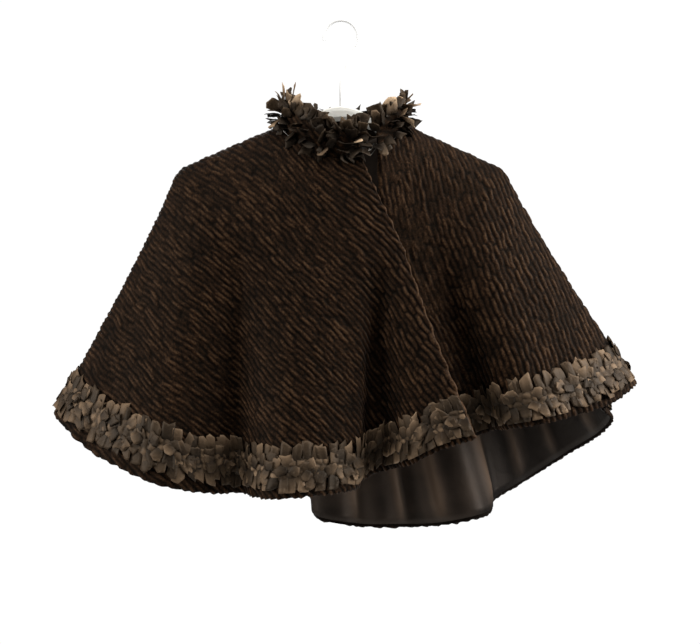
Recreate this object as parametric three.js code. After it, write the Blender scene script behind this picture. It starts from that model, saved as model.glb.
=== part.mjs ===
// A short wool cape with ribbon ruches at its collar and hem, hung on a plain hanger.
// Millimetres, +Z up, the front towards -Y. The origin is the inside top of the hanger's hook.
// Left and right are the viewer's, facing the front of the cape.

import * as THREE from 'three';

// Driving dimensions of the cloth
const woolWall = 2.5;
const liningWall = 1;
const seamGap = 0.3;
const columnsInFold = 2;
const flare = 1.12;
const foldGrowth = 0.85;

// Rings that the cloth passes through, each an ellipse seen from above whose front and back drop down.
// Turn is measured anticlockwise from the right, seen from above, so the front is at -90 degrees.
const neckRing = {
  centreX: 3,
  halfWidth: 84,
  frontDepth: 58,
  backDepth: 58,
  sideZ: -134,
  frontDrop: 43,
  backDrop: 16,
};
const collarTopRing = {
  centreX: 4,
  halfWidth: 77,
  frontDepth: 53,
  backDepth: 53,
  sideZ: -102,
  frontDrop: 36,
  backDrop: 10,
};
const shoulderRing = {
  centreX: 0,
  halfWidth: 211,
  frontDepth: 80,
  backDepth: 70,
  sideZ: -190,
  frontDrop: 120,
  backDrop: 100,
};

// Share of the way down at which the cloth leaves the hanger, and half the stretch it bends over
const shoulderAt = 0.28;
const shoulderBend = 0.03;

// How far the underlap lies behind the lap at the shoulder, and the share of the hem it fades over
const underlapSink = 12;
const underlapShare = 0.09;

// Where each fold line meets the hem, from the lap edge round by the left and the back to the underlap edge.
// Columns: name, x, y, z.
const foldLines = [
  ['lap edge', 167, -122, -521],
  ['lobe beside the lap', 123, -116, -536],
  ['flank of that lobe', 88, -98, -556],
  ['second valley', 50, -52, -573],
  ['left side of it', 27, -54, -584],
  ['sharp edge of the middle lobe', 20, -96, -588],
  ['middle lobe, right', -25, -132, -590],
  ['middle lobe, left', -77, -134, -594],
  ['flank of the middle lobe', -106, -104, -597],
  ['first valley', -126, -66, -598],
  ['left lobe, right flank', -168, -88, -594],
  ['left lobe', -224, -112, -581],
  ['left lobe, left flank', -278, -92, -561],
  ['shallow side valley', -320, -62, -543],
  ['left side, front', -352, -38, -520],
  ['left side', -373, -4, -503],
  ['left side, back', -352, 45, -512],
  ['back lobe 1', -285, 85, -545],
  ['back valley 1', -215, 75, -572],
  ['back lobe 2', -130, 105, -598],
  ['back lobe 2, right', -60, 105, -614],
  ['turned fold, far side', -38, 70, -630],
  ['turned fold', -31, 28, -647],
  ['back valley 2', -1, 20, -654],
  ['back wave 1', 22, 34, -659],
  ['back valley 3', 58, 22, -658],
  ['back wave 2', 94, 36, -660],
  ['back valley 4', 137, 18, -654],
  ['back wave 3', 180, 16, -645],
  ['back wave 3, far side', 198, 44, -642],
  ['back lobe 3, left', 206, 90, -634],
  ['back lobe 3', 252, 116, -611],
  ['back lobe 4', 312, 104, -570],
  ['right side, back', 348, 72, -541],
  ['back corner', 361, 42, -517],
  ['side valley', 346, 16, -500],
  ['right side', 380, -18, -463],
  ['right side, front', 350, -54, -482],
  ['right lobe, right', 293, -84, -497],
  ['right lobe', 248, -100, -506],
  ['right lobe, left', 213, -88, -513],
  ['third valley', 192, -50, -521],
  ['underlap edge', 139, -80, -535],
];

// Turn of the neck and shoulder rings, in degrees, at the fold lines that set them.
// Columns: fold line, neck turn, shoulder turn.
const turns = [
  ['lap edge', -75.2, -67.7],
  ['second valley', -82.5, -75.7],
  ['sharp edge of the middle lobe', -86.5, -83],
  ['first valley', -119, -126],
  ['left side', -180, -180],
  ['right side', -360, -360],
  ['third valley', -405, -416],
  ['underlap edge', -418.4, -436.3],
];

// Rows of the cloth walls, as shares of the way down. The last two cells carry the hem's ruche.
const clothRows = [0, 0.08, 0.16, 0.25, 0.28, 0.31, 0.42, 0.56, 0.72, 0.88, 0.94, 1];
const liningRows = [...clothRows.slice(0, -1), 0.99];
const liningHemGap = 1;

// Ribbon ruches: each gather has a tab up and a tab down, with a notch beside it, and is three columns wide.
// The strip between them is stitched down. Crest and dip are how far tabs and notches stand off.
const columnsInGather = 3;
const hemRuche = {
  gathers: 165,
  top: 0.845,
  strip: [0.88, 0.94],
  bottom: 0.986,
  notch: 0.02,
  tabUnevenness: 0.006,
  crest: 5.2,
  crestUnevenness: 1.5,
  dip: 2.6,
  dipUnevenness: 0.8,
};
const collarRuche = {
  gathers: 33,
  overhang: 0.022,
  strip: [0.2, 0.75],
  notch: 6,
  rise: 4,
  extraRise: 20,
  rightShareOfRise: 0.4,
  riseUnevenness: 4,
  crest: 7,
  sideCrest: 4,
  crestUnevenness: 2,
  dip: 2.4,
  droop: 0.045,
  droopNotch: 0.012,
  droopLift: 6,
  droopNotchLift: 3.5,
};

// Stand collar
const collarWall = 2;
const collarColumns = 42;

// Hook and eye: radius of the wire, places along the collar, and size of the bends
const fastenerWire = 0.6;
const fastenerHeight = 0.14;
const fastenerFoot = 0.018;
const fastenerClearance = 0.6;
const hookReach = 14;
const hookBend = 2.2;
const eyeHalf = 3.2;

// Hanger
const barThickness = 13;
const barHeight = 19;
const barEndHeight = 15;
const barEndX = 196;
const barClearance = 1.8;
const barPeakHalf = 20;
const hookWire = 2;
const hookInside = 20;
const hookStep = 14;

const radians = THREE.MathUtils.degToRad;
const vector = (x, y, z) => new THREE.Vector3(x, y, z);

// Repeatable unevenness between -1 and 1 for the place with this number
const uneven = (place, kind) => Math.sin(place * 12.99 + kind * 78.23) * Math.cos(place * 4.17 + kind);

function ringPoint(ring, turn) {
  const across = Math.cos(radians(turn));
  const along = Math.sin(radians(turn));
  const depth = along < 0 ? ring.frontDepth : ring.backDepth;
  const drop = along < 0 ? ring.frontDrop : ring.backDrop;
  return vector(ring.centreX + ring.halfWidth * across, depth * along, ring.sideZ - drop * along * along);
}

// The hem as one smooth line through the fold lines
const hemPoints = foldLines.map(([, x, y, z]) => vector(x, y, z));
const hemLine = new THREE.CatmullRomCurve3(hemPoints, false, 'centripetal');
hemLine.arcLengthDivisions = 3000;
const hemLengths = hemLine.getLengths();

const folds = foldLines.length - 1;
const clothColumns = folds * columnsInFold;

// The wool is cut in two halves. This column, half way along the hem, is their seam down the centre back.
const centreBack = 39;

// A place along the cape runs from 0 at the lap edge to 1 at the underlap edge, in equal steps from fold line
// to fold line. A share runs the same way, in equal steps of the hem's length.
function shareAt(place) {
  const at = THREE.MathUtils.clamp(place, 0, 1) * hemLine.arcLengthDivisions;
  const before = Math.min(Math.floor(at), hemLine.arcLengthDivisions - 1);
  return THREE.MathUtils.lerp(hemLengths[before], hemLengths[before + 1], at - before) / hemLengths.at(-1);
}

const placeAt = (share) => hemLine.getUtoTmapping(THREE.MathUtils.clamp(share, 0, 1));
const placeOf = (name) => foldLines.findIndex(([foldName]) => foldName === name) / folds;
const turnStops = turns.map(([name, neck, shoulder]) => ({ share: shareAt(placeOf(name)), neck, shoulder }));

// Turn of one ring at a share of the hem, straight between the fold lines that set it
function turnAt(share, ring) {
  const before = turnStops.findLastIndex((stop) => stop.share <= share);
  const first = THREE.MathUtils.clamp(before, 0, turnStops.length - 2);
  const from = turnStops[first];
  const to = turnStops[first + 1];
  return THREE.MathUtils.mapLinear(share, from.share, to.share, from[ring], to[ring]);
}

// A point of the cape's outer face, at a place along it and a share of the way down from neck to hem
function capePoint(place, down) {
  const share = shareAt(place);
  const neck = ringPoint(neckRing, turnAt(share, 'neck'));
  const shoulder = ringPoint(shoulderRing, turnAt(share, 'shoulder'));
  shoulder.y += underlapSink * THREE.MathUtils.smoothstep(share, 1 - underlapShare, 1);
  const hem = hemLine.getPoint(THREE.MathUtils.clamp(place, 0, 1));
  const upper = (at) => neck.clone().lerp(shoulder, at / shoulderAt);
  const lower = (at) => {
    const fall = (at - shoulderAt) / (1 - shoulderAt);
    const spread = fall ** flare;
    return vector(
      shoulder.x + (hem.x - shoulder.x) * spread,
      shoulder.y + (hem.y - shoulder.y) * fall ** foldGrowth,
      shoulder.z + (hem.z - shoulder.z) * fall,
    );
  };
  if (down <= shoulderAt - shoulderBend) return upper(down);
  if (down >= shoulderAt + shoulderBend) return lower(down);
  const bend = (down - shoulderAt + shoulderBend) / (2 * shoulderBend);
  const before = upper(shoulderAt - shoulderBend).lerp(shoulder, bend);
  const after = shoulder.clone().lerp(lower(shoulderAt + shoulderBend), bend);
  return before.lerp(after, bend);
}

// Outward direction of the cape at a point
function capeNormal(place, down) {
  const step = 0.002;
  const left = THREE.MathUtils.clamp(place - step, 0, 1);
  const right = THREE.MathUtils.clamp(place + step, 0, 1);
  const above = THREE.MathUtils.clamp(down - 5 * step, 0, 1);
  const below = THREE.MathUtils.clamp(down + 5 * step, 0, 1);
  const along = capePoint(right, down).sub(capePoint(left, down));
  const fall = capePoint(place, below).sub(capePoint(place, above));
  return along.cross(fall).normalize();
}

// A grid of points moved out along their normals: one list for each column, from top to bottom
function grid(columns, rows, place) {
  const list = (column) => rows.map((row, index) => place(column / columns, row, index));
  return Array.from({ length: columns + 1 }, (_, column) => list(column));
}

function geometryFrom(points, faces) {
  const numbers = points.flatMap((point) => point.toArray());
  const geometry = new THREE.BufferGeometry();
  geometry.setAttribute('position', new THREE.Float32BufferAttribute(numbers, 3));
  geometry.setIndex(faces);
  return geometry;
}

// Equal steps from 0 to 1, one for each item of a list
const evenSteps = (list) => list.map((_, index) => index / (list.length - 1));

// A closed solid between an outer and an inner grid, which may have different numbers of columns and rows.
// Each grid is a list of columns, run so that the cross product of along and down points outward. The last two
// values say how far along each column of the outer and the inner grid stands.
function solidBetween(outer, inner, outerAlong = evenSteps(outer), innerAlong = evenSteps(inner)) {
  const points = [];
  const faces = [];
  const number = (lists) => lists.map((list) => list.map((point) => points.push(point) - 1));
  const outerIds = number(outer);
  const innerIds = number(inner);
  const face = (a, b, c, flip) => (flip ? faces.push(a, c, b) : faces.push(a, b, c));
  const skin = (ids, flip) => {
    for (let i = 0; i < ids.length - 1; i++) {
      for (let j = 0; j < ids[i].length - 1; j++) {
        face(ids[i][j], ids[i + 1][j], ids[i + 1][j + 1], flip);
        face(ids[i][j], ids[i + 1][j + 1], ids[i][j + 1], flip);
      }
    }
  };
  // Joins two lines of points, going along whichever is behind
  const rim = (first, second, flip, firstAlong = evenSteps(first), secondAlong = evenSteps(second)) => {
    let i = 0;
    let j = 0;
    while (i < first.length - 1 || j < second.length - 1) {
      const firstIsBehind = j === second.length - 1 || firstAlong[i + 1] <= secondAlong[j + 1] + 1e-9;
      if (firstIsBehind && i < first.length - 1) {
        face(first[i], second[j], first[i + 1], flip);
        i += 1;
      } else {
        face(first[i], second[j], second[j + 1], flip);
        j += 1;
      }
    }
  };
  skin(outerIds, false);
  skin(innerIds, true);
  rim(outerIds.map((list) => list[0]), innerIds.map((list) => list[0]), false, outerAlong, innerAlong);
  rim(outerIds.map((list) => list.at(-1)), innerIds.map((list) => list.at(-1)), true, outerAlong, innerAlong);
  rim(outerIds[0], innerIds[0], true);
  rim(outerIds.at(-1), innerIds.at(-1), false);
  return geometryFrom(points, faces);
}

// Wool: the outer face of the wall is the cape's own surface
const woolOuter = grid(clothColumns, clothRows, (place, down) => capePoint(place, down));
const woolNormals = grid(clothColumns, clothRows, (place, down) => capeNormal(place, down));

function moved(points, normals, distance) {
  const move = (point, normal) => point.clone().addScaledVector(normal, distance);
  return points.map((list, column) => list.map((point, row) => move(point, normals[column][row])));
}

// One half of the wool, between two columns. At the centre back each half stops short by half the seam's gap.
function woolHalf(first, last) {
  const drawnBack = (list, neighbour) => list.map((point, row) => {
    const step = neighbour[row].clone().sub(point).setLength(seamGap / 2);
    return point.clone().add(step);
  });
  const outer = woolOuter.slice(first, last + 1);
  const normals = woolNormals.slice(first, last + 1);
  if (first === centreBack) outer[0] = drawnBack(outer[0], outer[1]);
  if (last === centreBack) outer[outer.length - 1] = drawnBack(outer.at(-1), outer.at(-2));
  return solidBetween(outer, moved(outer, normals, -woolWall));
}

// Lining: a thinner wall just inside the wool, a little shorter and standing off a little more at the hem
function liningFace(depth) {
  return grid(clothColumns, liningRows, (place, down, index) => {
    const extra = index === liningRows.length - 1 ? liningHemGap - seamGap : 0;
    return capePoint(place, down).addScaledVector(capeNormal(place, down), -woolWall - seamGap - extra - depth);
  });
}

const lining = solidBetween(liningFace(0), liningFace(liningWall));

// A point on the wool's flat facets, lifted off along the normal
function onWool(share, down, lift) {
  const at = placeAt(share) * clothColumns;
  const column = Math.min(Math.floor(at), clothColumns - 1);
  const row = Math.max(0, clothRows.findIndex((next) => next >= down - 1e-9) - 1);
  const across = at - column;
  const fall = (down - clothRows[row]) / (clothRows[row + 1] - clothRows[row]);
  const blend = (lists) => {
    const above = lists[column][row].clone().lerp(lists[column + 1][row], across);
    const below = lists[column][row + 1].clone().lerp(lists[column + 1][row + 1], across);
    return above.lerp(below, fall);
  };
  return blend(woolOuter).addScaledVector(blend(woolNormals).normalize(), lift);
}

// Number of the gather that a column lies in, and whether it is in its upper and its lower tab or in a notch
function gatherAt(column) {
  const within = column % columnsInGather;
  return {
    gather: Math.floor(column / columnsInGather),
    upperTab: within !== 0,
    lowerTab: within !== columnsInGather - 1,
  };
}

// Hem ruche: a strip stitched along its middle, with a tab up and a tab down in each gather
function buildHemRuche() {
  const { gathers, top, strip, bottom, notch, tabUnevenness } = hemRuche;
  const { crest, crestUnevenness, dip, dipUnevenness } = hemRuche;
  const columns = gathers * columnsInGather;
  const shares = Array.from({ length: columns + 1 }, (_, column) => column / columns);
  const outer = shares.map((share, column) => {
    const { gather, upperTab, lowerTab } = gatherAt(column);
    const upperEdge = upperTab ? top + tabUnevenness * uneven(gather, 2) : top + notch;
    const lowerEdge = lowerTab ? bottom + tabUnevenness * uneven(gather, 3) : bottom - notch;
    return [
      onWool(share, upperEdge, upperTab ? crest + crestUnevenness * uneven(gather, 1) : dip),
      onWool(share, strip[0], dip + dipUnevenness * uneven(gather, 4)),
      onWool(share, strip[1], dip + dipUnevenness * uneven(gather, 5)),
      onWool(share, lowerEdge, lowerTab ? crest + crestUnevenness * uneven(gather, 6) : dip),
    ];
  });
  const rows = strip.map((down) => clothRows.indexOf(down));
  const inner = woolOuter.map((list, column) =>
    rows.map((row) => list[row].clone().addScaledVector(woolNormals[column][row], seamGap)));
  return solidBetween(outer, inner, shares.map(placeAt), evenSteps(inner));
}

// Stand collar: it rises from the neck seam to a slightly narrower ring
function collarPoint(share, height) {
  const turn = turnAt(share, 'neck');
  return ringPoint(neckRing, turn).lerp(ringPoint(collarTopRing, turn), height);
}

function collarNormal(share) {
  const turn = radians(turnAt(share, 'neck'));
  return vector(Math.cos(turn) * neckRing.frontDepth, Math.sin(turn) * neckRing.halfWidth, 0).normalize();
}

const onCollar = (share, height, lift) => collarPoint(share, height).addScaledVector(collarNormal(share), lift);

// The collar's rows from its top edge down to its foot, a seam gap above the neck edge
const collarFoot = 0.012;
const collarRows = [1, collarRuche.strip[1], collarRuche.strip[0], collarFoot];

function buildCollar() {
  const face = (lift) => grid(collarColumns, collarRows, (share, height) => onCollar(share, height, lift));
  return solidBetween(face(0), face(-collarWall));
}

// Collar ruche: the upper tabs stand up and out, tallest off the sides, and the lower ones droop over the seam.
// Both ends reach past the collar, so that they close over its opening.
function buildCollarRuche() {
  const { gathers, overhang, strip, notch, rise, extraRise, crest, dip } = collarRuche;
  const { droop, droopNotch, droopLift, droopNotchLift } = collarRuche;
  const columns = gathers * columnsInGather;
  const outer = Array.from({ length: columns + 1 }, (_, column) => {
    const share = THREE.MathUtils.lerp(-overhang, 1 + overhang, column / columns);
    const { gather, upperTab, lowerTab } = gatherAt(column);
    const turn = radians(turnAt(share, 'neck'));
    const tallness = Math.abs(Math.sin(2 * turn)) * (Math.cos(turn) < 0 ? 1 : collarRuche.rightShareOfRise);
    const tabRise = rise + extraRise * tallness + collarRuche.riseUnevenness * uneven(gather, 4);
    const sideCrest = collarRuche.sideCrest * Math.abs(Math.cos(turn));
    const tabCrest = crest + sideCrest + collarRuche.crestUnevenness * uneven(gather, 5);
    const droopReach = lowerTab ? droop * (1 + uneven(gather, 6) / 4) : droopNotch;
    const isPastCollar = share < droopNotch || share > 1 - droopNotch;
    const drooped = () => onWool(share, droopReach, lowerTab ? droopLift : droopNotchLift);
    return [
      onCollar(share, 1, upperTab ? tabCrest : dip + seamGap).add(vector(0, 0, upperTab ? tabRise : -notch)),
      onCollar(share, strip[1], upperTab ? (crest + dip) / 2 : dip),
      onCollar(share, (strip[0] + strip[1]) / 2, dip),
      onCollar(share, strip[0], lowerTab ? crest + dip : dip + seamGap),
      isPastCollar ? onCollar(share, strip[0] / 2, crest) : drooped(),
    ];
  });
  const stripFromTop = strip.slice().reverse();
  const inner = grid(collarColumns, stripFromTop, (share, height) => onCollar(share, height, seamGap));
  return solidBetween(outer, inner);
}

// A round wire along a smooth line through points
function wire(points, radius, steps, sides) {
  const corners = Array.from({ length: sides }, (_, side) => {
    const turn = (2 * Math.PI * side) / sides;
    return new THREE.Vector2(radius * Math.cos(turn), radius * Math.sin(turn));
  });
  const path = new THREE.CatmullRomCurve3(points, false, 'centripetal');
  return new THREE.ExtrudeGeometry(new THREE.Shape(corners), { steps, extrudePath: path, bevelEnabled: false });
}

// Hook and eye inside the collar's foot, at the seam of the neck. Both lie clear of the collar's inner face,
// and the hook's bill curls back round the end of the eye.
const fastenerSit = -collarWall - seamGap - fastenerWire;
const lapEnd = onCollar(0, fastenerHeight, fastenerSit);
const underlapEnd = onCollar(1, fastenerHeight, fastenerSit - fastenerClearance);
const acrossGap = underlapEnd.clone().sub(lapEnd).setZ(0).normalize();
const inward = vector(-acrossGap.y, acrossGap.x, 0);

// A point of the fastener: how far across the gap from the lap's end, how far inside, and how far up
function inGap(along, inside, up) {
  return lapEnd.clone().addScaledVector(acrossGap, along).addScaledVector(inward, inside).add(vector(0, 0, up));
}

function buildHook() {
  return wire([
    onCollar(fastenerFoot, fastenerHeight, fastenerSit - fastenerClearance),
    lapEnd,
    inGap(hookReach - hookBend, 0, 0),
    inGap(hookReach, hookBend, 0),
    inGap(hookReach - hookBend, 2 * hookBend, 0),
    inGap(hookReach - 3 * hookBend, 2 * hookBend, 0),
  ], fastenerWire, 18, 6);
}

function buildEye() {
  const leg = onCollar(1 - fastenerFoot, fastenerHeight, fastenerSit - 3 * fastenerClearance);
  const legEnd = (up) => leg.clone().add(vector(0, 0, up));
  const atEdge = (up) => underlapEnd.clone().add(vector(0, 0, up));
  const loopEnd = hookReach - hookBend;
  return wire([
    legEnd(eyeHalf),
    atEdge(eyeHalf),
    inGap(loopEnd + eyeHalf, hookBend, eyeHalf),
    inGap(loopEnd + eyeHalf / 4, hookBend, eyeHalf * 0.7),
    inGap(loopEnd, hookBend, 0),
    inGap(loopEnd + eyeHalf / 4, hookBend, -eyeHalf * 0.7),
    inGap(loopEnd + eyeHalf, hookBend, -eyeHalf),
    atEdge(-eyeHalf),
    legEnd(-eyeHalf),
  ], fastenerWire, 26, 6);
}

// Hanger bar: its top follows the underside of the cloth and meets in a rounded peak at the middle
const clothStack = woolWall + seamGap + liningWall;
const armSlope = (neckRing.sideZ - shoulderRing.sideZ) / (shoulderRing.halfWidth - neckRing.halfWidth);
const armDrop = (clothStack + barClearance) * Math.hypot(1, armSlope);

function barTop(x) {
  const straight = (distance) => neckRing.sideZ - armSlope * (distance - neckRing.halfWidth) - armDrop;
  const distance = Math.abs(x);
  if (distance >= barPeakHalf) return straight(distance);
  return straight(barPeakHalf) + (armSlope * (barPeakHalf ** 2 - distance ** 2)) / (2 * barPeakHalf);
}

// One side of the bar's section, from the top down. Columns: share of its half thickness, share of its height.
const barSide = [[0.45, 0], [0.9, -0.1], [1, -0.3], [1, -0.72], [0.6, -1]];
const barSection = [...barSide, ...barSide.map(([side, down]) => [-side, down]).reverse()];
const barStations = [0, barPeakHalf / 2, barPeakHalf, 70, 130, 178, 190];
const barEndShrink = 0.7;

function buildBar() {
  const stations = [-barEndX, ...barStations.slice(1).reverse().map((x) => -x), ...barStations, barEndX];
  const rings = stations.map((x) => {
    const height = THREE.MathUtils.lerp(barHeight, barEndHeight, Math.abs(x) / barEndX);
    const shrink = Math.abs(x) === barEndX ? barEndShrink : 1;
    return barSection.map(([side, down]) => {
      const z = barTop(x) + height * (down * shrink - (1 - shrink) / 2);
      return vector(x, side * shrink * (barThickness / 2), z);
    });
  });
  const points = rings.flat();
  const faces = [];
  const sides = barSection.length;
  for (let ring = 0; ring < rings.length - 1; ring++) {
    for (let side = 0; side < sides; side++) {
      const next = (side + 1) % sides;
      const here = ring * sides;
      faces.push(here + side, here + sides + next, here + next);
      faces.push(here + side, here + sides + side, here + sides + next);
    }
  }
  const last = (rings.length - 1) * sides;
  for (let side = 1; side < sides - 1; side++) {
    faces.push(0, side, side + 1);
    faces.push(last, last + side + 1, last + side);
  }
  return geometryFrom(points, faces);
}

// Hanger hook: a stem that swings out to the right and turns over the origin
function buildHangerHook() {
  const radius = hookInside + hookWire;
  const around = (turn) => {
    const angle = radians(turn);
    return vector(radius * Math.cos(angle), 0, -hookInside + radius * Math.sin(angle));
  };
  const foot = barTop(0) + seamGap;
  const stem = [0, 1, 2].map((step) => vector(0, 0, foot + step * hookStep));
  const swing = vector(hookInside / 4, 0, foot + 3 * hookStep);
  const bend = [-50, -20, 10, 40, 70, 100, 130, 160, 190].map(around);
  return wire([...stem, swing, ...bend], hookWire, 40, 8);
}

// Materials
function finish(color, roughness, metalness = 0) {
  return new THREE.MeshStandardMaterial({ color, roughness, metalness });
}

const wool = finish(0x271a10, 0.95);
const ribbon = finish(0x42352a, 0.45);
const satin = finish(0x231f1d, 0.4);
const steel = finish(0xa09a90, 0.35, 0.9);
const paintedWood = finish(0xf0ece0, 0.5);

const cape = new THREE.Group();

function add(name, geometry, material) {
  const mesh = new THREE.Mesh(geometry, material);
  mesh.name = name;
  cape.add(mesh);
}

add('wool_lap_half', woolHalf(0, centreBack), wool);
add('wool_underlap_half', woolHalf(centreBack, clothColumns), wool);
add('lining', lining, satin);
add('hem_ruche', buildHemRuche(), ribbon);
add('collar_band', buildCollar(), wool);
add('collar_ruche', buildCollarRuche(), ribbon);
add('neck_hook', buildHook(), steel);
add('neck_eye', buildEye(), steel);
add('hanger_bar', buildBar(), paintedWood);
add('hanger_hook', buildHangerHook(), steel);

export default cape;
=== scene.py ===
"""A short wool cape with ribbon ruches, hung on a plain hanger.

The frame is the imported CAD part. Everything is in metres, and left and right are the viewer's.
"""

import math

import bpy
import numpy as np
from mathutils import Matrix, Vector


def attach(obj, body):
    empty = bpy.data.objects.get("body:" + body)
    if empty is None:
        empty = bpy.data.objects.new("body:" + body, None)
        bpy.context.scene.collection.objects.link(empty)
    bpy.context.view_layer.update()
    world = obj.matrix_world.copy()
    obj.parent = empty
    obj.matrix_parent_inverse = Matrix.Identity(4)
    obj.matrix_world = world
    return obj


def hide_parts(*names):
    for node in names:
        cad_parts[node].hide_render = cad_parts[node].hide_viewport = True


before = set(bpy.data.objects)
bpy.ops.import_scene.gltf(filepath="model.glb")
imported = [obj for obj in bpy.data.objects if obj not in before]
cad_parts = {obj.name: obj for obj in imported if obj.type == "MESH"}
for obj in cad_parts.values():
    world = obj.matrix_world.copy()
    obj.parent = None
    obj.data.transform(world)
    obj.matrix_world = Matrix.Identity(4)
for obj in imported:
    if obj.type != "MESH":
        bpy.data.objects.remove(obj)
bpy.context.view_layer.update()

# Camera
# It stands a little above the middle of the cape, 2.2 m in front of it, and looks slightly down.
camera = bpy.data.objects.new("camera", bpy.data.cameras.new("camera"))
bpy.context.collection.objects.link(camera)
bpy.context.scene.camera = camera
camera.location = (0.0117, -2.2, -0.25)
looked_at = Vector((0.0117, 0, -0.386))
camera.rotation_euler = (looked_at - camera.location).to_track_quat("-Z", "Y").to_euler()
camera.data.sensor_width = 36
camera.data.lens = 87.4
camera.data.clip_end = 30

# Wool of the cape
# Two halves of a part-circle of heavy crinkled wool, each with its front edge on the straight grain, sewn
# together down the centre back. The cloth runs from the neck over the hanger and hangs from it in folds.
MM = 0.001


def ring(turn, centre_x, half_width, front_depth, back_depth, side_z, front_drop, back_drop):
    """A point of an ellipse round the neck or shoulders, at a turn in degrees. Its sizes are in mm, and its
    front and back lie lower than its sides by the two drops."""
    across = np.cos(np.radians(turn))
    along = np.sin(np.radians(turn))
    depth = np.where(along < 0, front_depth, back_depth)
    drop = np.where(along < 0, front_drop, back_drop)
    return np.stack([centre_x + half_width * across, depth * along, side_z - drop * along**2], -1) * MM


neck_half_width = 84
neck_half_depth = 58


def neck_ring(turn):
    depths = (neck_half_depth, neck_half_depth)
    return ring(turn, 3, neck_half_width, *depths, side_z=-134, front_drop=43, back_drop=16)


def shoulder_ring(turn):
    return ring(turn, 0, 211, front_depth=80, back_depth=70, side_z=-190, front_drop=120, back_drop=100)


# Where each fold line meets the hem, from the lap edge round by the left and the back to the underlap edge
hem_points = np.array([
    (167, -122, -521), (123, -116, -536), (88, -98, -556), (50, -52, -573), (27, -54, -584),
    (20, -96, -588), (-25, -132, -590), (-77, -134, -594), (-106, -104, -597), (-126, -66, -598),
    (-168, -88, -594), (-224, -112, -581), (-278, -92, -561), (-320, -62, -543), (-352, -38, -520),
    (-373, -4, -503), (-352, 45, -512), (-285, 85, -545), (-215, 75, -572), (-130, 105, -598),
    (-60, 105, -614), (-38, 70, -630), (-31, 28, -647), (-1, 20, -654), (22, 34, -659),
    (58, 22, -658), (94, 36, -660), (137, 18, -654), (180, 16, -645), (198, 44, -642),
    (206, 90, -634), (252, 116, -611), (312, 104, -570), (348, 72, -541), (361, 42, -517),
    (346, 16, -500), (380, -18, -463), (350, -54, -482), (293, -84, -497), (248, -100, -506),
    (213, -88, -513), (192, -50, -521), (139, -80, -535),
]) * MM  # fmt: skip
folds = len(hem_points) - 1


def hem_at(place):
    """The hem at places from 0 to 1, as a smooth line through its points with a centripetal spacing."""
    ends = np.concatenate([
        [2 * hem_points[0] - hem_points[1]], hem_points, [2 * hem_points[-1] - hem_points[-2]]
    ])  # fmt: skip
    first = np.clip(np.floor(place * folds).astype(int), 0, folds - 1)
    part = (place * folds - first)[..., None]
    before, here, there, beyond = (ends[first + step] for step in range(4))
    gap_before, gap, gap_beyond = (
        np.linalg.norm(to_point - from_point, axis=-1, keepdims=True) ** 0.5
        for from_point, to_point in ((before, here), (here, there), (there, beyond))
    )
    step_here = (here - before) / gap_before - (there - before) / (gap_before + gap) + (there - here) / gap
    step_there = (there - here) / gap - (beyond - here) / (gap + gap_beyond) + (beyond - there) / gap_beyond
    step_here, step_there = step_here * gap, step_there * gap
    squared = (-3 * here + 3 * there - 2 * step_here - step_there) * part**2
    cubed = (2 * here - 2 * there + step_here + step_there) * part**3
    return here + step_here * part + squared + cubed


# A share runs along the hem in equal steps of its length, and a place in equal steps from point to point
even_places = np.linspace(0, 1, folds * 80 + 1)
hem_steps = np.linalg.norm(np.diff(hem_at(even_places), axis=0), axis=1)
hem_length = hem_steps.sum()
shares_there = np.concatenate([[0], np.cumsum(hem_steps)]) / hem_length

# Columns: number of the hem point, neck turn, shoulder turn
turns = np.array([
    (0, -75.2, -67.7), (3, -82.5, -75.7), (5, -86.5, -83), (9, -119, -126),
    (15, -180, -180), (36, -360, -360), (41, -405, -416), (42, -418.4, -436.3),
])  # fmt: skip
neck_column, shoulder_column = 1, 2
turn_shares = np.interp(turns[:, 0] / folds, even_places, shares_there)


def turn_at(share, column):
    """Turn of the neck or of the shoulders above a share of the hem, from the columns' straight lines."""
    first = np.clip(np.searchsorted(turn_shares, share, "right") - 1, 0, len(turns) - 2)
    part = (share - turn_shares[first]) / (turn_shares[first + 1] - turn_shares[first])
    return turns[first, column] + part * (turns[first + 1, column] - turns[first, column])


# Shares of the way down: where the cloth passes the shoulders, and where its bend there starts and ends
shoulder_down = 0.28
bend_start, bend_end = 0.25, 0.31
# The underlap goes under the lap from this share of the hem on, and its shoulder lies this much further back
underlap_start, underlap_length = 0.91, 0.09
underlap_sink = 12 * MM


def on_cape(share, down):
    """The cape's outer face at shares along the hem and shares of the way down from the neck."""
    share, down = np.broadcast_arrays(np.clip(share, 0, 1), np.clip(down, 0, 1))
    neck = neck_ring(turn_at(share, neck_column))
    shoulder = shoulder_ring(turn_at(share, shoulder_column))
    sunk = np.clip((share - underlap_start) / underlap_length, 0, 1)
    shoulder[..., 1] += underlap_sink * sunk**2 * (3 - 2 * sunk)
    hem = hem_at(np.interp(share, shares_there, even_places))

    def upper(at):
        return neck + (shoulder - neck) * (at / shoulder_down)[..., None]

    def lower(at):
        fall = np.clip((at - shoulder_down) / (1 - shoulder_down), 0, 1)[..., None]
        return shoulder + (hem - shoulder) * np.concatenate([fall**1.12, fall**0.85, fall], -1)

    part = np.clip((down - bend_start) / (bend_end - bend_start), 0, 1)[..., None]
    before = upper(np.full_like(down, bend_start)) * (1 - part) + shoulder * part
    after = shoulder * (1 - part) + lower(np.full_like(down, bend_end)) * part
    bent = before * (1 - part) + after * part
    is_above = (down < bend_start)[..., None]
    is_below = (down > bend_end)[..., None]
    return np.where(is_above, upper(down), np.where(is_below, lower(down), bent))


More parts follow.
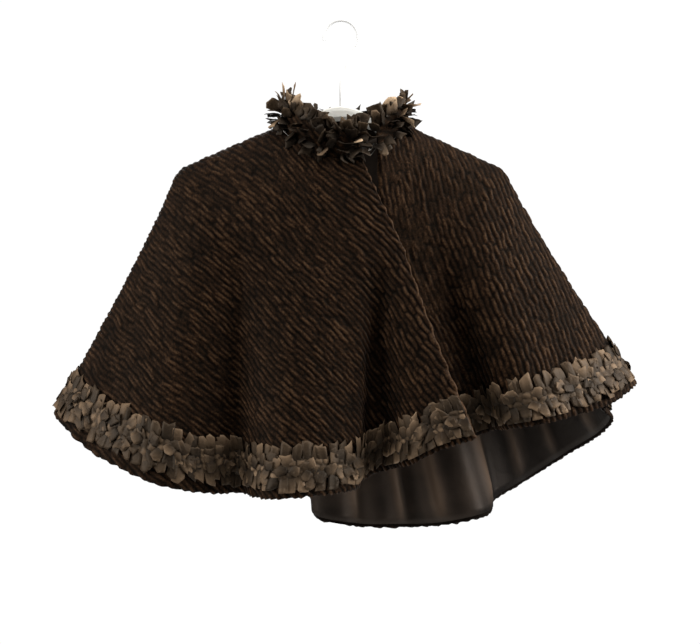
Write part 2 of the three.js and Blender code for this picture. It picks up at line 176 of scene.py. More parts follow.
def cape_axes(share, down):
    """Steps along and down the cape for one unit of share and of down, and the outward normal."""
    small_share, small_down = 0.0015, 0.01
    along = (on_cape(share + small_share, down) - on_cape(share - small_share, down)) / (2 * small_share)
    fall = (on_cape(share, down + small_down) - on_cape(share, down - small_down)) / (2 * small_down)
    normal = np.cross(along, fall)
    return along, fall, normal / np.linalg.norm(normal, axis=-1, keepdims=True)


# The whole flat cut is a part-circle with this angle, and this radius at the neck
cut_angle = math.radians(205)
neck_radius = 0.12


def flat_cut(points, from_far_edge=False):
    """Where a grid of points lies on the flat cut, measured along its rows from a front edge, and down."""
    across = np.linalg.norm(np.diff(points, axis=0), axis=-1)
    way = np.concatenate([np.zeros((1, points.shape[1])), np.cumsum(across, 0)])
    if from_far_edge:
        way = way - way[-1]
    row_direction = np.gradient(points, axis=0)
    row_direction /= np.linalg.norm(row_direction, axis=-1, keepdims=True)
    step = np.diff(points, axis=1)
    sideways = np.sum(step * row_direction[:, :-1], -1)
    downward = np.sqrt(np.maximum(np.sum(step**2, -1) - sideways**2, 0))
    radius = neck_radius + np.concatenate([np.zeros((len(points), 1)), np.cumsum(downward, 1)], 1)
    angle = way / radius + (cut_angle if from_far_edge else 0)
    return np.stack([radius * np.cos(angle), radius * np.sin(angle)], -1)


def crinkle(cut, grain, bent=0.0):
    """Height, from 0 to 1, of the short raised ridges that run along the grain, staggered from row to row.
    Bent is how far, in radians, the grain has turned where the cut begins. It straightens further down."""
    pitch, length = 7.0 * MM, 14 * MM
    ridge_half_width, ridge_half_length = 3.3 * MM, 8.8 * MM
    straight_from = 0.33
    table_size = 512
    uneven = np.random.default_rng(8).random((5, table_size, table_size))
    forward = np.array([math.cos(grain), math.sin(grain)])
    along = cut @ forward
    across = cut @ np.array([-forward[1], forward[0]])
    from_start = np.minimum(along, straight_from)
    across = across + bent * (from_start - from_start**2 / (2 * straight_from))
    across = across + 1.6 * MM * np.sin(along / (27 * MM) + 2.1 * np.sin(across / (47 * MM)))
    across = across + 0.45 * MM * np.sin(along / (4.3 * MM) + 2.6 * np.sin(across / (13 * MM)))
    height = np.zeros(along.shape)
    for row_step in (-1, 0, 1):
        row = np.floor(across / pitch).astype(int) + row_step
        offset = uneven[0, row % table_size, 7] * 3
        for dash_step in (-1, 0, 1):
            dash = np.floor(along / length + offset).astype(int) + dash_step
            table_place = (row % table_size, dash % table_size)
            shift, slide, tilt, size = (uneven[k][table_place] - 0.5 for k in range(1, 5))
            off_along = along - (dash + 0.5 - offset + 0.4 * slide) * length
            off_across = across - (row + 0.5 + 0.26 * shift) * pitch - 0.3 * tilt * off_along
            crown = np.clip(1 - (off_across / ridge_half_width) ** 2, 0, 1) ** 1.3
            taper = np.clip(1 - (off_along / ridge_half_length) ** 4, 0, 1)
            height = np.maximum(height, crown * taper * (0.82 + 0.6 * size))
    return height


def join_lines(first, second, first_along, second_along, turned):
    """Triangles between two lines of points, going on along whichever is behind."""
    faces, i, j = [], 0, 0
    while i < len(first) - 1 or j < len(second) - 1:
        second_ended = j == len(second) - 1
        first_ended = i == len(first) - 1
        if second_ended or (not first_ended and first_along[i + 1] <= second_along[j + 1] + 1e-9):
            face = (first[i], second[j], first[i + 1])
            i += 1
        else:
            face = (first[i], second[j], second[j + 1])
            j += 1
        faces.append(face[::-1] if turned else face)
    return faces


def cloth_wall(name, outer_blocks, inner):
    """A closed wall of cloth. Each block is columns by rows by six numbers: a point, its place on the flat
    cut, and how high its ridge stands. The outer blocks lie one below the other."""
    blocks = [*outer_blocks, inner]
    starts = np.cumsum([0] + [block.shape[0] * block.shape[1] for block in blocks])
    ids = [
        start + np.arange(block.shape[0] * block.shape[1]).reshape(block.shape[:2])
        for start, block in zip(starts, blocks)
    ]
    along = [np.linspace(0, 1, len(block)) for block in blocks]
    quads = []
    for grid in ids:
        corners = [grid[1:, :-1], grid[1:, 1:], grid[:-1, 1:], grid[:-1, :-1]]
        quads.append(np.stack(corners, -1).reshape(-1, 4))
    quads[-1] = quads[-1][:, ::-1]
    faces = [tuple(face) for face in np.concatenate(quads).tolist()]
    for upper in range(len(outer_blocks) - 1):
        line, next_line = ids[upper][:, -1], ids[upper + 1][:, 0]
        faces += join_lines(line, next_line, along[upper], along[upper + 1], True)
    faces += join_lines(ids[0][:, 0], ids[-1][:, 0], along[0], along[-1], False)
    faces += join_lines(ids[-2][:, -1], ids[-1][:, -1], along[-2], along[-1], True)
    for side, turned in ((0, True), (-1, False)):
        edge = np.concatenate([grid[side] for grid in ids[:-1]])
        inner_edge = ids[-1][side]
        edge_along = np.linspace(0, 1, len(edge))
        inner_along = np.linspace(0, 1, len(inner_edge))
        faces += join_lines(edge, inner_edge, edge_along, inner_along, turned)
    points = np.concatenate([block.reshape(-1, 6) for block in blocks])
    mesh = bpy.data.meshes.new(name)
    mesh.from_pydata(points[:, :3].tolist(), [], faces)
    return finished_mesh(name, mesh, points[:, 3:5], {"ridge": points[:, 5]})


def finished_mesh(name, mesh, uv, marks):
    """An object of this mesh, smooth, with its flat places as a UV map and a number for each point."""
    corner_points = np.empty(len(mesh.loops), np.int32)
    mesh.loops.foreach_get("vertex_index", corner_points)
    layer = mesh.uv_layers.new(name="cut")
    layer.data.foreach_set("uv", np.ascontiguousarray(uv[corner_points], np.float32).ravel())
    for mark, values in marks.items():
        mesh.attributes.new(mark, "FLOAT", "POINT").data.foreach_set("value", values.astype(np.float32))
    mesh.shade_smooth()
    piece = bpy.data.objects.new(name, mesh)
    bpy.context.collection.objects.link(piece)
    return piece


class Shade:
    """A value on its way through a material. Sums on it add Math nodes, and node() adds any other node."""

    def __init__(self, tree, socket=None):
        self.tree = tree
        self.socket = socket

    def node(self, kind, settings=None, inputs=None, output=0):
        made = self.tree.nodes.new(kind)
        for setting, value in (settings or {}).items():
            if setting == "stops":
                while len(made.color_ramp.elements) < len(value):
                    made.color_ramp.elements.new(1)
                for element, (position, colour) in zip(made.color_ramp.elements, value):
                    element.position = position
                    element.color = (*colour, 1)
            else:
                setattr(made, setting, value)
        for socket, value in (inputs or {}).items():
            if isinstance(value, Shade):
                self.tree.links.new(value.socket, made.inputs[socket])
            else:
                made.inputs[socket].default_value = value
        return Shade(self.tree, made.outputs[output])

    def math(self, operation, first, second=0.0):
        return self.node("ShaderNodeMath", {"operation": operation}, {0: first, 1: second})

    def __add__(self, other):
        return self.math("ADD", self, other)

    def __radd__(self, other):
        return self.math("ADD", other, self)

    def __sub__(self, other):
        return self.math("SUBTRACT", self, other)

    def __rsub__(self, other):
        return self.math("SUBTRACT", other, self)

    def __mul__(self, other):
        return self.math("MULTIPLY", self, other)

    def __rmul__(self, other):
        return self.math("MULTIPLY", other, self)

    def mixed(self, low, high):
        """A colour from low to high as this value goes from 0 to 1."""
        return self.node("ShaderNodeMix", {"data_type": "RGBA"}, {0: self, 6: low, 7: high}, 2)


def new_material(name):
    """A material with only its output node, and a Shade to start from."""
    material = bpy.data.materials.new(name)
    material.use_nodes = True
    material.node_tree.nodes.clear()
    return material, Shade(material.node_tree)


def dress(piece, material):
    """Gives the piece its only material, and ties it to the cape's one rigid body."""
    piece.data.materials.clear()
    piece.data.materials.append(material)
    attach(piece, "root")


def shaded(start, constants, **varying):
    """The surface shader and the output. Constants go on the shader's own sockets."""
    inputs = {name.replace("_", " "): value for name, value in varying.items()}
    surface = start.node("ShaderNodeBsdfPrincipled", None, {**constants, **inputs})
    output = start.tree.nodes.new("ShaderNodeOutputMaterial")
    start.tree.links.new(surface.socket, output.inputs["Surface"])


def rgba(red, green, blue):
    return (red, green, blue, 1)


wool_material, wool = new_material("crinkled wool")
cut = wool.node("ShaderNodeUVMap", {"uv_map": "cut"})
ridge = wool.node("ShaderNodeAttribute", {"attribute_name": "ridge"}, output=2)
patches = wool.node("ShaderNodeTexNoise", None, {"Vector": cut, "Scale": 26, "Detail": 3})
fluff = wool.node("ShaderNodeTexNoise", None, {"Vector": cut, "Scale": 900, "Detail": 4, "Roughness": 0.7})
curls = wool.node("ShaderNodeTexVoronoi", None, {"Vector": cut, "Scale": 620, "Randomness": 1})
specks = wool.node("ShaderNodeTexNoise", None, {"Vector": cut, "Scale": 400, "Detail": 2, "Roughness": 0.6})
# The ridge mark paints shade: grooves near black and crests lighter. Specks and patches are the wool's own
# uneven colour.
ridge_shade_and_tone = ridge * 0.66 + specks * 1.15 + patches * 0.45 - 0.86
wool_colour = wool.node(
    "ShaderNodeValToRGB",
    {"stops": [
        (0.0, (0.001, 0.0006, 0.0004)), (0.4, (0.0145, 0.0066, 0.003)), (1.0, (0.078, 0.041, 0.02)),
    ]},
    {"Fac": ridge_shade_and_tone},
)
wool_bump = wool.node(
    "ShaderNodeBump",
    None,
    {"Height": fluff * 0.7 + curls * 0.6, "Strength": 0.8, "Distance": 0.0007},
)
shaded(
    wool,
    {
        "Specular IOR Level": 0.08,
        "Specular Tint": rgba(1, 0.7, 0.45),
        "Sheen Weight": 0.02,
        "Sheen Roughness": 0.5,
    },
    Base_Color=wool_colour,
    Roughness=0.85 - ridge * 0.3,
    Normal=wool_bump,
)

ridge_size = 2.3 * MM
wool_thickness = 2.5 * MM
fall_length = 0.5


def wool_half(name, first, last, grain, bent, front_edge, node):
    """One half of the wool between two shares of the hem. Its columns lie closer beside the front edge,
    where the ridges run down, and fewer of them reach the neck."""
    columns, rows = 1081, 241
    rolled_edge, neck_edge, seam_press = 5 * MM, 4 * MM, 3 * MM
    steps = np.linspace(0, 1, columns)
    steps = 0.7 * steps + 0.3 * steps**2
    steps = 1 - steps[::-1] if front_edge == 1 else steps
    shares = first + (last - first) * steps
    downs = np.linspace(0, 1, rows)
    points = on_cape(shares[:, None], downs[None, :])
    along, fall, normal = cape_axes(shares[:, None], downs[None, :])
    cut_places = flat_cut(points, front_edge == 1)
    height = crinkle(cut_places, grain, bent)
    height *= 1 - 0.6 * np.exp(-((np.abs(shares - 0.5) * hem_length / seam_press) ** 2))[:, None]
    unit_along = along / np.linalg.norm(along, axis=-1, keepdims=True)
    unit_fall = fall / np.linalg.norm(fall, axis=-1, keepdims=True)
    to_hem = np.clip(1 - (1 - downs) * fall_length / rolled_edge, 0, 1)[None, :]
    to_front = np.clip(1 - np.abs(shares - front_edge) * hem_length / rolled_edge, 0, 1)[:, None]
    outward = -1 if front_edge == 0 else 1
    roll = 1.6 * MM * (1 - np.sqrt(1 - np.maximum(to_hem, to_front) ** 2))
    by_neck = np.clip(1.2 - downs * 0.49 / neck_edge, 0, 1)[None, :]
    raised = (1 - by_neck) * ridge_size * (height - 0.25) + by_neck * 0.6 * MM
    placed = points + normal * (raised - roll)[..., None]
    placed += unit_fall * (ridge_size * 1.2 * height * to_hem**2)[..., None]
    placed += unit_along * (outward * ridge_size * height * to_front**2)[..., None]
    # Along the front edges the ridge mark is raised above any ridge: a painted highlight on the rolled edge.
    height_and_edge_highlight = np.maximum(height, 1.15 * to_front**0.5)
    packed = np.concatenate([placed, cut_places, height_and_edge_highlight[..., None]], -1)
    inner_points = (points - normal * wool_thickness)[::12, ::8]
    no_ridge = np.zeros((*inner_points.shape[:2], 1))
    inner = np.concatenate([inner_points, cut_places[::12, ::8], no_ridge], -1)
    blocks = [packed[::8, :25], packed[::4, 25:69], packed[::3, 69:132], packed[::2, 132:]]
    piece = cloth_wall(name, blocks, inner)
    dress(piece, wool_material)
    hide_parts(node)
    return piece


# The ridges lie 13 degrees off the lap's front edge, and turn up to 30 more towards its neck and side. The
# other front edge runs at 205 degrees on the cut, which is 25 as a line, and its ridges lie 7 off it.
wool_half("wool_lap_half_cloth", 0, 0.4998, math.radians(-13), math.radians(30), 0, "wool_lap_half")
wool_half("wool_underlap_half_cloth", 0.5002, 1, math.radians(18), 0, 1, "wool_underlap_half")

# Lining
# Dark brown satin, cut like the wool but a little short, sewn to it at the neck, the fronts and just above
# the hem. It is slack, so it hangs in soft upright creases that show under the front hem. Its colour is
# painted lighter on the crests of its creases, and painted darker over its right side as shade.
satin_material, satin = new_material("lining satin")
cut = satin.node("ShaderNodeUVMap", {"uv_map": "cut"})
cloudy = satin.node("ShaderNodeTexNoise", None, {"Vector": cut, "Scale": 14, "Detail": 4, "Roughness": 0.6})
threads = satin.node("ShaderNodeTexNoise", None, {"Vector": cut, "Scale": 1600, "Detail": 2})
creased = satin.node(
    "ShaderNodeTexNoise", None, {"Vector": cut, "Scale": 60, "Detail": 5, "Distortion": 0.6}
)
crease = satin.node("ShaderNodeAttribute", {"attribute_name": "ridge"}, output=2)
# Over the right side the colour is darkened: painted shade where the cape shades the lining.
satin_place = satin.node("ShaderNodeTexCoord", output=3)
to_the_right = satin.node("ShaderNodeSeparateXYZ", None, {"Vector": satin_place})
painted_shade_right = satin.node(
    "ShaderNodeMapRange", None, {"Value": to_the_right, "From Min": 0.17, "From Max": 0.22}
)
# Where the creases bulge inward the colour is lighter: painted light on their crests.
satin_colour = satin.node(
    "ShaderNodeValToRGB",
    {"stops": [
        (0.1, (0.004, 0.0035, 0.0034)), (0.5, (0.034, 0.0245, 0.0185)), (0.95, (0.085, 0.057, 0.039)),
    ]},
    {"Fac": cloudy * 0.8 + crease * 0.15 - 0.1 - painted_shade_right * 0.34},
)
satin_bump = satin.node(
    "ShaderNodeBump", None, {"Height": creased + threads * 0.06, "Strength": 0.45, "Distance": 0.002}
)
shaded(
    satin,
    {"Specular IOR Level": 0.2, "Specular Tint": rgba(1, 0.8, 0.65)},
    Base_Color=satin_colour,
    Roughness=0.45 + cloudy * 0.2,
    Normal=satin_bump,
)

lining_end = 0.993
hem_stitches = 0.985
seam_gap = 0.3 * MM
lining_shares = np.linspace(0, 1, 561)
lining_downs = np.linspace(0, lining_end, 61)


def lining_face(depth):
    """The lining's face at a depth inside the wool, with creases that only go further inward."""
    grid_shares, grid_downs = lining_shares[:, None], lining_downs[None, :]
    points = on_cape(grid_shares, grid_downs)
    normal = cape_axes(grid_shares, grid_downs)[2]
    way = lining_shares * hem_length / MM
    fullness = 0.5 + 0.5 * np.sin(way / 5.1 + 2.2 * np.sin(way / 31))
    narrow = (0.5 + 0.5 * np.cos(way / 12.5 + 1.4 * np.sin(way / 43))) ** 5
    fullness = 1.7 * fullness * (0.6 + 0.4 * np.sin(way / 17 + 1)) + 4.5 * narrow
    front_stitches = 0.012
    sewn = np.minimum(1, np.minimum(lining_shares, 1 - lining_shares) / front_stitches)
    hang = np.clip((lining_downs - 0.35) / 0.3, 0, 1) * np.clip((0.99 - lining_downs) / 0.05, 0, 1) ** 0.5
    crease = MM * fullness[:, None] * sewn[:, None] * hang[None, :]
    turned_in = np.where(lining_downs > hem_stitches, 0.7 * MM, 0)[None, :]
    placed = points - normal * (wool_thickness + seam_gap + turned_in + depth + crease)[..., None]
    flat = flat_cut(points)
    return np.concatenate([placed, flat, crease[..., None] / MM], -1)


lining = cloth_wall("lining_cloth", [lining_face(0)], lining_face(0.8 * MM))
dress(lining, satin_material)
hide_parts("lining")

# Hem ruche
# Short lengths of satin ribbon laid up and down round the hem, gathered and sewn along their middles. Their
# ends stand off as rows of rounded tabs, upward at the top and downward above the hem, crumpled between.
ribbon_material, ribbon = new_material("ribbon satin")
ribbon_place = ribbon.node("ShaderNodeUVMap", {"uv_map": "cut"})
tone = ribbon.node("ShaderNodeAttribute", {"attribute_name": "tone"}, output=2)
root = ribbon.node("ShaderNodeAttribute", {"attribute_name": "root"}, output=2)
wrinkles = ribbon.node(
    "ShaderNodeTexNoise", None, {"Vector": ribbon_place, "Scale": 170, "Detail": 4, "Distortion": 1.2}
)
ribs = ribbon.node(
    "ShaderNodeTexWave",
    {"bands_direction": "Y"},
    {"Vector": ribbon_place, "Scale": 420, "Distortion": 0.5},
)
# Each tab darkens towards its gathered root, painted shade between the tabs. Tone is each piece's own, and
# on the collar it also carries painted light and shade.
tone_and_root_shade = (tone * 0.95 + wrinkles * 0.45 - 0.14) * (1.12 - root)
ribbon_colour = ribbon.node(
    "ShaderNodeValToRGB",
    {"stops": [
        (0.03, (0.005, 0.0034, 0.0024)), (0.33, (0.045, 0.029, 0.017)), (0.67, (0.14, 0.091, 0.054)),
        (1.0, (0.4, 0.28, 0.175)),
    ]},
    {"Fac": tone_and_root_shade * 0.67},
)
ribbon_bump = ribbon.node(
    "ShaderNodeBump", None, {"Height": wrinkles + ribs * 0.05, "Strength": 0.6, "Distance": 0.0012}
)
shaded(
    ribbon,
    {"Specular IOR Level": 0.2, "Specular Tint": rgba(1, 0.8, 0.6)},
    Base_Color=ribbon_colour,
    Roughness=0.42 + wrinkles * 0.25,
    Normal=ribbon_bump,
)

# One tab, 1 wide and 1 long from its gathered root at 0 to its rounded end at 1
tab_across = np.array([-1, -0.5, 0, 0.5, 1])
tab_along = np.array([0, 0.18, 0.42, 0.68, 0.88, 1])
tab_width = np.array([0.62, 0.86, 0.98, 1.0, 1.0, 0.95])
tab_thickness = 0.35 * MM


def tab_faces():
    """Faces of one tab as a thin closed sheet: its upper side, its lower side and its rim."""
    columns, rows = len(tab_across), len(tab_along)
    top = np.arange(columns * rows).reshape(columns, rows)
    quads = np.stack([top[:-1, :-1], top[1:, :-1], top[1:, 1:], top[:-1, 1:]], -1).reshape(-1, 4)
    rim = [*top[:, 0], *top[-1, 1:], *top[::-1, -1][1:], *top[0, ::-1][1:-1]]
    under = columns * rows
    walls = [(a, a + under, b + under, b) for a, b in zip(rim, [*rim[1:], rim[0]])]
    return np.concatenate([quads, quads[:, ::-1] + under, np.array(walls)])


def tab_rows(places, chance):
    """Many tabs, before they are laid on anything: how far across and along each point lies, how high it
    stands off, its flat place and how near the root it is. Places holds each tab's width, length, turn and
    lift."""
    count = len(places)
    across, along = np.meshgrid(tab_across, tab_along, indexing="ij")
    width, length, turn, lift = (places[:, k][:, None, None] for k in range(4))
    bend, fold, curl, twist, slant, point = (chance.uniform(-1, 1, (count, 1, 1)) for _ in range(6))
    x = across * tab_width[None, None, :] * width / 2 * (1 + 0.08 * bend)
    end_shape = 0.28 * slant * across + 0.3 * (point + 0.2) * (0.5 - np.abs(across))
    y = along * length + width * end_shape * along**2
    height = lift * np.sin(along * math.pi * 0.62) * (1 + 0.4 * curl)
    height = height + width * 0.17 * fold * (0.5 - np.abs(across - 0.4 * bend)) * (0.3 + along)
    height = height + width * 0.16 * twist * across * along
    height = height + chance.uniform(-1, 1, x.shape) * width * 0.045
    turned_x = x * np.cos(turn) + y * np.sin(turn)
    turned_y = -x * np.sin(turn) + y * np.cos(turn)
    flat = np.stack([x + 0.05 * np.arange(count)[:, None, None], y + 0 * x], -1)
    return turned_x, turned_y, height, flat, np.broadcast_to(1 - along, x.shape)


def tabs_joined(name, tops, normals, flats, tones, roots):
    """All the tabs as one mesh, each a thin closed sheet."""
    count = len(tops)
    unders = tops - normals * tab_thickness
    points = np.concatenate([tops.reshape(count, -1, 3), unders.reshape(count, -1, 3)], 1)
    each = points.shape[1]
    faces = (tab_faces()[None] + each * np.arange(count)[:, None, None]).reshape(-1, 4)
    mesh = bpy.data.meshes.new(name)
    mesh.from_pydata(points.reshape(-1, 3).tolist(), [], faces.tolist())
    uv = np.concatenate([flats.reshape(count, -1, 2)] * 2, 1).reshape(-1, 2)
    tone_marks = np.repeat(tones, each)
    root_marks = np.concatenate([roots.reshape(count, -1)] * 2, 1).ravel()
    return finished_mesh(name, mesh, uv, {"tone": tone_marks, "root": root_marks})


left_tip_share = np.interp(15 / folds, even_places, shares_there)


def ruche_drop(share):
    """How much lower than elsewhere the ruche is sewn, round the left tip and along the right front."""
    by_left_tip = np.exp(-(((share - left_tip_share) / 0.035) ** 2))
    by_right_front = np.clip((share - 0.82) / 0.04, 0, 1)
    return 0.018 * by_left_tip + 0.008 * by_right_front


hem_chance = np.random.default_rng(21)
tab_widths = (10.5, 15.5)
over_wool = 0.6 * MM
lowest_tab_end = 0.988
# Columns: how many, share of the way down at the root and its spread, length in mm, up or down, spread of
# the turn in degrees, lift in mm at the root and of the tab
hem_rows = [
    (168, 0.903, 0.003, 25, -1, 7, 1.2, 2.2),
    (168, 0.926, 0.003, 25, 1, 7, 1.2, 2.2),
    (140, 0.912, 0.01, 17, -1, 32, 2.6, 2.0),
    (150, 0.92, 0.01, 18, 1, 32, 2.6, 2.0),
    (90, 0.915, 0.02, 14, 1, 80, 3.8, 1.6),
]
parts = []
for count, root_down, root_spread, length, way, spread, base_lift, lift in hem_rows:
    shares = (np.arange(count) + 0.5 + hem_chance.uniform(-0.3, 0.3, count)) / count
    downs = root_down + ruche_drop(shares) + hem_chance.uniform(-root_spread, root_spread, count)
    sizes = np.stack([
        hem_chance.uniform(*tab_widths, count) * MM,
        length * hem_chance.uniform(0.8, 1.1, count) * MM,
        np.radians(hem_chance.normal(0, spread, count)),
        np.full(count, lift * MM),
    ], -1)  # fmt: skip
    x, y, height, flat, roots = tab_rows(sizes, hem_chance)
    along, fall, _ = cape_axes(shares, downs)
    along_size = np.linalg.norm(along, axis=-1)[:, None, None]
    fall_size = np.linalg.norm(fall, axis=-1)[:, None, None]
    tab_shares = np.clip(shares[:, None, None] + x * way / along_size, 0, 1)
    tab_downs = np.minimum(downs[:, None, None] + way * y / fall_size, lowest_tab_end)
    normal = cape_axes(tab_shares, tab_downs)[2]
    tops = on_cape(tab_shares, tab_downs) + normal * (height + base_lift * MM + over_wool)[..., None]
    if way < 0:
        tops, normal, flat, roots = (grid[:, ::-1] for grid in (tops, normal, flat, roots))
    parts.append((tops, normal, flat, hem_chance.uniform(0.1, 1, count), roots))
hem_tabs = tabs_joined("hem_ruche_tabs", *(np.concatenate([part[k] for part in parts]) for k in range(5)))
dress(hem_tabs, ribbon_material)
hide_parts("hem_ruche")


def puffs(across, down, chance):
    """Height, from 0 to 1, of the crumpled puffs between gathers, with a mark for each point's puff."""
    centres = chance.random((3, 256, 8))
    nearest = np.full(across.shape, 9.0)
    second = np.full(across.shape, 9.0)
    mark = np.zeros(across.shape)
    for column_step in (-1, 0, 1):
        column = np.floor(across).astype(int) + column_step
        for row_step in (-1, 0, 1):
            row = np.floor(down).astype(int) + row_step
            jitter_x, jitter_y, tone_there = (centres[k, column % 256, row % 8] for k in range(3))
            distance = np.hypot(column + 0.15 + 0.7 * jitter_x - across, row + 0.15 + 0.7 * jitter_y - down)
            is_nearest = distance < nearest
            second = np.where(is_nearest, nearest, np.minimum(second, distance))
            mark = np.where(is_nearest, tone_there, mark)
            nearest = np.minimum(nearest, distance)
    return 1 - np.exp(-(second - nearest) / 0.22), mark


strip_top, strip_bottom = 0.884, 0.95
strip_middle, strip_half = 0.917, 0.033
puff_width, puff_fall = 10.5 * MM, 0.022
strip_shares, strip_downs = np.meshgrid(
    np.linspace(0.001, 0.999, 1301), np.linspace(strip_top, strip_bottom, 15), indexing="ij"
)
strip_points = on_cape(strip_shares, strip_downs + ruche_drop(strip_shares))
strip_normal = cape_axes(strip_shares, strip_downs + ruche_drop(strip_shares))[2]
puffed, strip_tone = puffs(
    strip_shares * hem_length / puff_width, (strip_downs - strip_top) / puff_fall, hem_chance
)
to_edge = 1 - np.abs(strip_downs - strip_middle) / strip_half
strip_height = (2.2 + 2.2 * np.clip(to_edge * 3, 0, 1) * puffed) * MM
strip_flat = np.stack([strip_shares * hem_length, strip_downs * fall_length], -1)
strip_outer = strip_points + strip_normal * strip_height[..., None]
strip_inner = (strip_points + strip_normal * 1.6 * MM)[::10, ::7]
# Each puff has its own tone, and the dark lines where puffs meet are painted shade in the creases.
tone_and_puff_shade = 0.12 + 0.85 * strip_tone * puffed
gathers = cloth_wall(
    "hem_ruche_gathers",
    [np.concatenate([strip_outer, strip_flat, tone_and_puff_shade[..., None]], -1)],
    np.concatenate([strip_inner, strip_flat[::10, ::7], np.zeros((*strip_inner.shape[:2], 1))], -1),
)
gathers.data.attributes["ridge"].name = "tone"
dress(gathers, ribbon_material)
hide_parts("hem_ruche")

# Collar band
# A straight stand band of the same wool, folded double and sewn to the neck edge. It leans in a little
# towards its top, and stays open at the front between its two ends.
collar_length, collar_height = 0.43, 0.034


def collar_top_ring(turn):
    return ring(turn, 4, 77, front_depth=53, back_depth=53, side_z=-102, front_drop=36, back_drop=10)


def on_collar(turn, height, lift):
    """A point of the collar's outer face at a turn round the neck and a height, moved outward."""
    foot, top = neck_ring(turn), collar_top_ring(turn)
    across, along = np.cos(np.radians(turn)), np.sin(np.radians(turn))
    normal = np.stack([across * neck_half_depth, along * neck_half_width, 0 * turn], -1)
    normal = normal / np.linalg.norm(normal, axis=-1, keepdims=True)
    height, lift = np.asarray(height)[..., None], np.asarray(lift)[..., None]
    return foot + (top - foot) * height + normal * lift, normal


def collar_face(lift):
    """The collar's outer face at a lift of 0, with ridges, or its plain inner face at a lift below 0."""
    shares, heights = np.meshgrid(np.linspace(0, 1, 241), np.linspace(1, 0.004, 17), indexing="ij")
    flat = np.stack([shares * collar_length, heights * collar_height], -1)
    ridges = crinkle(flat, 0.5) if lift == 0 else np.zeros(shares.shape)
    rounded = 0.8 * MM * np.abs(2 * heights - 1) ** 8
    out = lift + (0.7 * MM * (ridges - 1) - rounded if lift == 0 else rounded)
    points = on_collar(turn_at(shares, neck_column), heights, out)[0]
    return np.concatenate([points, flat, ridges[..., None]], -1)


collar = cloth_wall("collar_band_cloth", [collar_face(0)], collar_face(-2 * MM))
dress(collar, wool_material)
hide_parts("collar_band")

# Collar ruche
# Loose scraps of the same ribbon sewn in rows on the band. They stand up and out, tallest on the left,
# droop over the seam below, and close over the collar's opening at the front.
collar_chance = np.random.default_rng(5)
# Columns: how many, height of the root, tilt above level in degrees, length in mm, more of it at the left
# side, darkest and lightest tone. The tones paint shade on the lower rows and towards the front and back,
# and light on the upper rows at the sides.
scrap_rows = [
    (34, 0.96, 80, 15, 9, 0.2, 1.5),
    (32, 0.85, 58, 17, 5, 0.15, 1.5),
    (32, 0.64, 30, 18, 0, 0.0, 1.3),
    (30, 0.46, -5, 17, 0, 0.0, 0.5),
    (28, 0.28, -42, 15, 0, 0.0, 0.4),
    (28, 0.14, -68, 13, 0, 0.0, 0.35),
]
# The scraps that stand out most. Columns: turn round the neck, height of the root, tilt, swing to one side,
# length, width and tone. Their tones paint highlights on some and shade on others.
chosen_scraps = np.array([
    (-153, 0.95, 86, 0, 31, 7, 0.9), (-143, 0.9, 72, 0, 22, 22, 1.4), (-126, 0.9, 55, 35, 22, 9, 0.15),
    (-172, 0.75, 14, 0, 21, 17, 0.8), (-160, 0.5, -45, 0, 21, 15, 1.1), (-115, 0.8, 70, -20, 20, 22, 0.3),
    (-400, 0.9, 66, -20, 22, 20, 1.5), (-378, 0.9, 42, 15, 22, 6, 0.7), (-371, 0.75, 12, 10, 22, 9, 1.4),
    (-388, 0.6, -35, 0, 23, 15, 1.6), (-77, 0.55, -20, 0, 15, 11, 1.6), (-107, 0.25, -45, 10, 14, 15, 0.8),
    (-416, 0.2, -60, 0, 20, 12, 0.6), (-92, 0.9, 75, 15, 15, 13, 0.8), (-82, 0.9, 70, -15, 15, 12, 0.9),
    (-125, 0.95, 80, 0, 20, 19, 0.3), (-113, 0.95, 82, 12, 18, 18, 0.2), (-77, 0.95, 82, 20, 20, 18, 0.2),
    (-415, 0.95, 80, -25, 21, 21, 0.25), (-410, 0.7, 60, -10, 18, 18, 0.1), (-100, 0.9, 80, 0, 15, 17, 0.3),
])  # fmt: skip
scrap_values = [[] for _ in range(chosen_scraps.shape[1])]
for count, root_height, tilt, length, extra, darkest, lightest in scrap_rows:
    spread = (np.arange(count) + collar_chance.uniform(0.1, 0.9, count)) / count * 1.04 - 0.02
    turn = turn_at(spread, neck_column)
    beside = np.cos(np.radians(turn)) ** 2
    behind = np.clip(np.sin(np.radians(turn)), 0, 1) ** 2
    on_left = np.where(np.cos(np.radians(turn)) > 0, 0.1, 1)
    reach = (length + extra * beside**2 * on_left) * (1 - 0.35 * behind)
    values = (
        turn,
        root_height + collar_chance.uniform(-0.04, 0.04, count),
        np.minimum(tilt + collar_chance.normal(0, 17, count), 88) - (45 * behind if tilt > 50 else 0),
        collar_chance.normal(0, 30, count),
        reach * collar_chance.uniform(0.75, 1.15, count),
        collar_chance.uniform(11, 17, count),
        darkest + (lightest - darkest) * collar_chance.random(count) ** 1.9 * (0.35 + 0.65 * beside),
    )
    for kept, value in zip(scrap_values, values):
        kept.append(value)
turn, heights, tilts, swings, long, wide, tones = (
    np.concatenate([*kept, chosen_scraps[:, k]]) for k, kept in enumerate(scrap_values)
)
count = len(turn)
roots_at, outward = on_collar(turn, heights, 1 * MM)
upward = collar_top_ring(turn) - neck_ring(turn)
upward /= np.linalg.norm(upward, axis=-1, keepdims=True)
sideways = np.cross(upward, outward)
rise, swing = np.radians(tilts)[:, None], np.radians(swings)[:, None]
roll = np.radians(collar_chance.normal(0, 28, count))[:, None]
forward = outward * np.cos(rise) + upward * np.sin(rise)
forward = forward * np.cos(swing) + sideways * np.sin(swing)
facing = upward * np.cos(rise) - outward * np.sin(rise)
side = np.cross(forward, facing)
side /= np.linalg.norm(side, axis=-1, keepdims=True)
facing = np.cross(side, forward)
